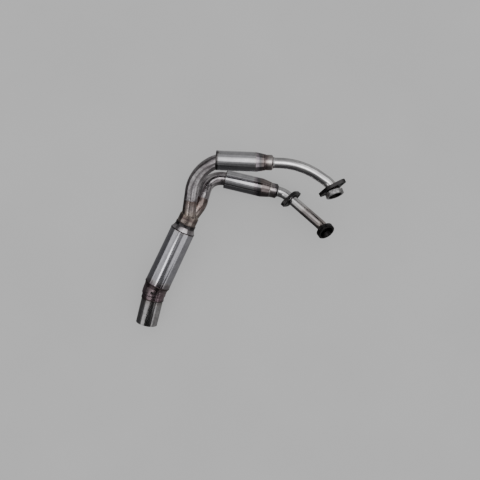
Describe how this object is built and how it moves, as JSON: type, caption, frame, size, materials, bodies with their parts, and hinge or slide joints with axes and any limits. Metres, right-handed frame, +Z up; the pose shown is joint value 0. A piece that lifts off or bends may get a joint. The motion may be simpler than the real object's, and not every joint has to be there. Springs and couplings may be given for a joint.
{
  "type": "motorcycle exhaust header",
  "caption": "Two-into-one motorcycle exhaust header with a small chamber in each head pipe, a large chamber after the merge, and loose port flanges.",
  "frame": {"origin": "bottom centre of the header's box as it lies on the ground", "axes": "+X along the head pipes towards the ports, +Y across the main chamber towards the leg bends, +Z up, away from the ground"},
  "size_m": [0.4829, 0.407, 0.1243],
  "materials": {
    "collar": "turned steel, darkened by heat",
    "flange": "dark steel plate, dull",
    "pipe": "polished stainless tube",
    "neck": "stainless, tinted brown by the weld heat",
    "shell": "polished stainless sheet",
    "cap": "stainless, dark at the weld",
    "core": "plain perforated stainless",
    "leg": "polished stainless tube",
    "tinted": "polished stainless, straw and brown heat tint",
    "main_shell": "polished stainless sheet with a faint blue cast",
    "tail": "stainless, brown and purple heat tint",
    "outlet": "polished stainless tube"
  },
  "bodies": {
    "header": {"upper_port_collar": "collar", "upper_front_pipe": "pipe", "upper_neck_sleeve": "neck", "upper_chamber_shell": "shell", "upper_chamber_cap": "cap", "upper_chamber_core": "core", "upper_leg": "leg", "lower_port_collar": "collar", "lower_front_pipe": "pipe", "lower_neck_sleeve": "neck", "lower_chamber_shell": "shell", "lower_chamber_cap": "cap", "lower_chamber_core": "core", "lower_leg": "leg", "collector": "tinted", "main_chamber_head": "neck", "main_chamber_shell": "main_shell", "main_chamber_core": "core", "core_rear_ring": "core", "tail_cone": "tail", "outlet_tube": "outlet"},
    "upper_flange": {"upper_flange": "flange"},
    "lower_flange": {"lower_flange": "flange"}
  },
  "joints": [
    {"name": "upper_flange_turn", "type": "hinge", "parent": "header", "child": "upper_flange", "pos_m": [0.17884, 0.10583, 0.11086], "axis": [-0.2096, -0.3049, -0.929], "range_deg": [-25, 0]},
    {"name": "lower_flange_slide", "type": "slide", "parent": "header", "child": "lower_flange", "axis": [0.7015, -0.6569, 0.2763], "range_m": [0, 0.084]}
  ]
}
